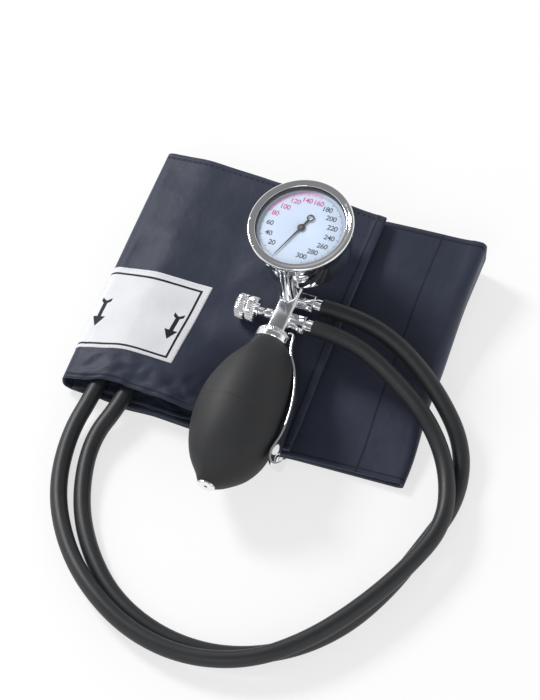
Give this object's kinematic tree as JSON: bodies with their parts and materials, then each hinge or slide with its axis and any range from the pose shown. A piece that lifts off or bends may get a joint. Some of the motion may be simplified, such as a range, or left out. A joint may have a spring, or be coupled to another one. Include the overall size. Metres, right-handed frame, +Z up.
{
  "type": "aneroid sphygmomanometer",
  "caption": "Aneroid blood pressure set: folded cloth arm cuff, round dial gauge with valve block, rubber bulb and release knob, joined by rubber hoses.",
  "frame": {"origin": "middle of the resting face of the folded cuff's and handset's common box, on the floor plane", "axes": "+X along the folded cuff towards the hose connectors, +Y across the cuff from the bulb to the gauge, +Z up; the dial faces up"},
  "size_m": [0.2411, 0.3028, 0.0839],
  "materials": {
    "cuff_cloth": "coated woven nylon, matt",
    "cuff_lining": "coated woven nylon, matt",
    "black_rubber": "matt",
    "label_cloth": "silver grey satin with a thin black border",
    "fastener_tape": "hook and loop tape",
    "chrome": "polished",
    "steel": "machined",
    "brass": "machined",
    "dial_paint": "matt white",
    "pointer_paint": "matt black",
    "lens_clear": "clear"
  },
  "bodies": {
    "set_body": {"cuff_outer_panel": "cuff_cloth", "cuff_inner_panel": "cuff_lining", "bladder": "black_rubber", "bladder_port_upper": "black_rubber", "bladder_port_lower": "black_rubber", "bulb_shell": "black_rubber", "valve_o_ring": "black_rubber", "lens_gasket": "black_rubber", "hose_upper": "black_rubber", "hose_lower": "black_rubber", "artery_label": "label_cloth", "hook_patch": "fastener_tape", "loop_patch": "fastener_tape", "bulb_collar": "chrome", "end_valve_body": "chrome", "spoon_strip": "chrome", "valve_block": "chrome", "hose_connector_upper": "chrome", "hose_connector_lower": "chrome", "gauge_neck": "chrome", "bezel_ring": "chrome", "gauge_case": "chrome", "bezel_screws": "steel", "hairspring": "steel", "outlet_valve_cage": "steel", "end_valve_cage": "steel", "valve_bush": "brass", "valve_seat": "brass", "lower_plate": "brass", "upper_plate": "brass", "plate_pillars": "brass", "case_standoffs": "brass", "capsule_upper": "brass", "capsule_lower": "brass", "capsule_boss": "brass", "inlet_pipe": "brass", "spring_stud": "brass", "dial_plate": "dial_paint", "lens": "lens_clear"},
    "pointer_set": {"pointer": "pointer_paint", "pinion_arbor": "brass"},
    "sector": {"sector_gear": "brass"},
    "rocker": {"rocking_shaft": "steel"},
    "capsule_pin": {"capsule_pin": "brass"},
    "valve_needle": {"valve_needle": "steel"},
    "release_knob": {"valve_knob": "chrome", "valve_spindle": "steel"},
    "end_disc": {"end_valve_disc": "black_rubber"},
    "outlet_disc": {"outlet_valve_disc": "black_rubber"}
  },
  "joints": [
    {"name": "pointer_spin", "type": "hinge", "parent": "set_body", "child": "pointer_set", "pos_m": [-0.00008, 0.05239, 0.07548], "axis": [0.1132, 0.0762, -0.9906], "range_deg": [0, 317], "stiffness_Nm_per_rad": 0.000002},
    {"name": "sector_swing", "type": "hinge", "parent": "set_body", "child": "sector", "pos_m": [-0.0153, 0.05299, 0.06773], "axis": [0.1132, 0.0762, -0.9906], "range_deg": [-45.5, 0]},
    {"name": "rocking_shaft_turn", "type": "hinge", "parent": "set_body", "child": "rocker", "pos_m": [-0.01182, 0.05549, 0.06388], "axis": [0.9936, -0.0087, 0.1129], "range_deg": [0, 23.1]},
    {"name": "capsule_pin_slide", "type": "slide", "parent": "set_body", "child": "capsule_pin", "axis": [-0.1132, -0.0762, 0.9906], "range_m": [0, 0.00146]},
    {"name": "release_knob_turn", "type": "hinge", "parent": "valve_needle", "child": "release_knob", "pos_m": [-0.0161, 0.01398, 0.03637], "axis": [-0.9936, 0.0087, -0.1129], "range_deg": [0, 541]},
    {"name": "valve_needle_slide", "type": "slide", "parent": "set_body", "child": "valve_needle", "axis": [-0.9936, 0.0087, -0.1129], "range_m": [0, 0.00075]},
    {"name": "end_valve_lift", "type": "slide", "parent": "set_body", "child": "end_disc", "axis": [0, 0.9971, 0.0767], "range_m": [0, 0.0008]},
    {"name": "outlet_valve_lift", "type": "slide", "parent": "set_body", "child": "outlet_disc", "axis": [0, 0.9971, 0.0767], "range_m": [0, 0.0008]}
  ],
  "couplings": [
    {"joint": "sector_swing", "follows": "pointer_spin", "ratio": -0.14286},
    {"joint": "rocking_shaft_turn", "follows": "pointer_spin", "ratio": 0.072555},
    {"joint": "capsule_pin_slide", "follows": "pointer_spin", "m_per_rad": 0.00026208},
    {"joint": "release_knob_turn", "follows": "valve_needle_slide", "rad_per_m": 12566}
  ]
}
